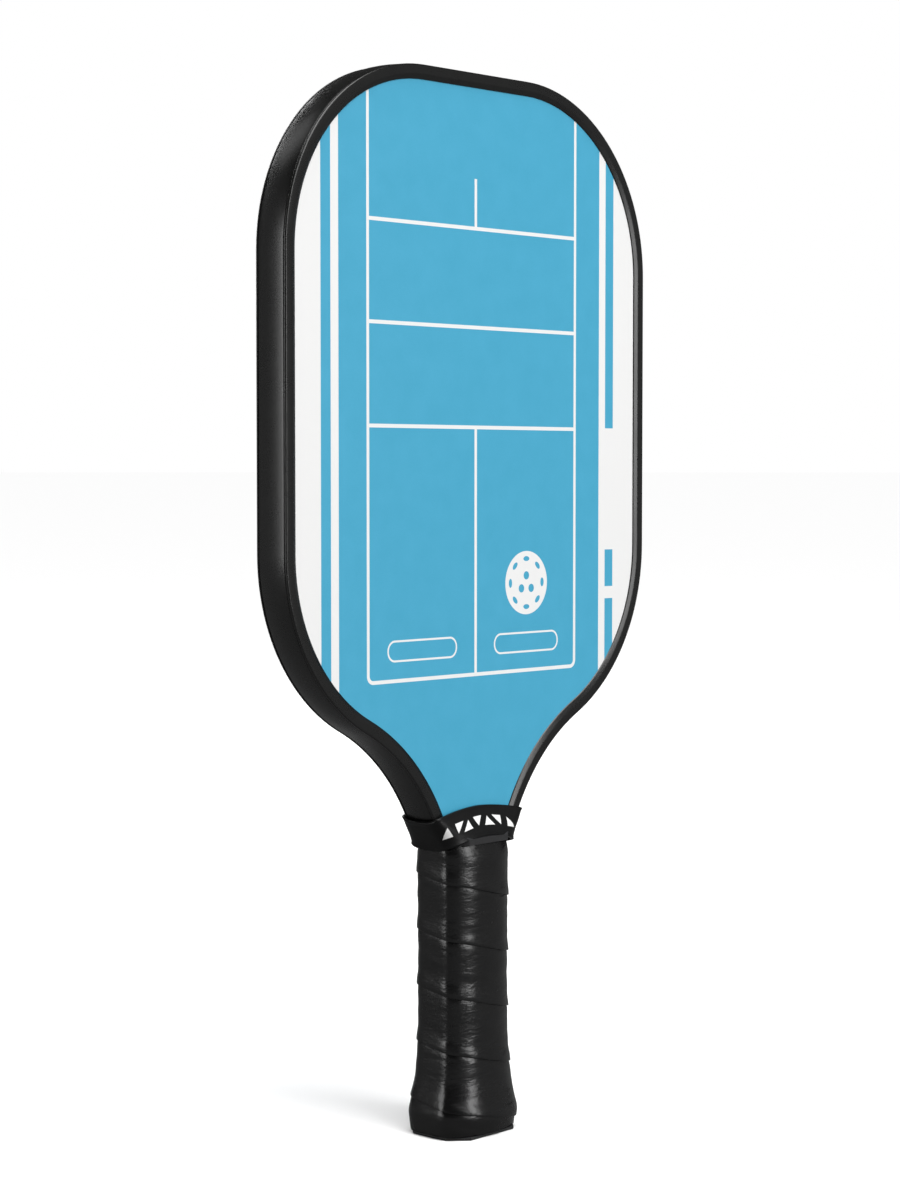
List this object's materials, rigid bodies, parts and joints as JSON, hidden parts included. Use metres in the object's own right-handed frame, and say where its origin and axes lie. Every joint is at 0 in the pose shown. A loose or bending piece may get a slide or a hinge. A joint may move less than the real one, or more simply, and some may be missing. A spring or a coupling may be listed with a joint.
{
  "type": "pickleball paddle",
  "caption": "Pickleball paddle with a flat rounded-rectangle blade edged by a plastic guard, a tape-wound octagonal handle with a flared butt, and an elastic throat collar.",
  "frame": {"origin": "middle of the butt's flat base", "axes": "+Z from the butt to the top of the head, +X across the blade, -Y out of the front face"},
  "size_m": [0.2032, 0.0336, 0.4064],
  "materials": {
    "honeycomb": "translucent moulded",
    "scrim": "non-woven",
    "glass_fibre": "laminated glass fibre",
    "front_print": "satin printed film",
    "back_print": "satin printed film",
    "guard_plastic": "satin moulded",
    "bond_strip": "double-sided foam tape",
    "handle_wood": "planed, unfinished",
    "peg_wood": "turned, unfinished",
    "cap_plastic": "moulded",
    "badge_plastic": "satin",
    "staple_steel": "zinc-plated wire",
    "grip_leather": "satin synthetic leather",
    "finishing_tape": "vinyl tape",
    "collar_rubber": "satin elastic"
  },
  "bodies": {
    "root": {"honeycomb_core": "honeycomb", "front_core_scrim": "scrim", "back_core_scrim": "scrim", "front_skin": "glass_fibre", "back_skin": "glass_fibre", "front_graphic_film": "front_print", "back_graphic_film": "back_print", "edge_guard": "guard_plastic", "guard_bond_strip": "bond_strip", "handle_half_front": "handle_wood", "handle_half_back": "handle_wood", "handle_pegs": "peg_wood", "butt_cap": "cap_plastic", "butt_badge": "badge_plastic", "cap_staples": "staple_steel", "grip_tape": "grip_leather", "finishing_tape": "finishing_tape", "collar_band": "collar_rubber"}
  },
  "joints": []
}
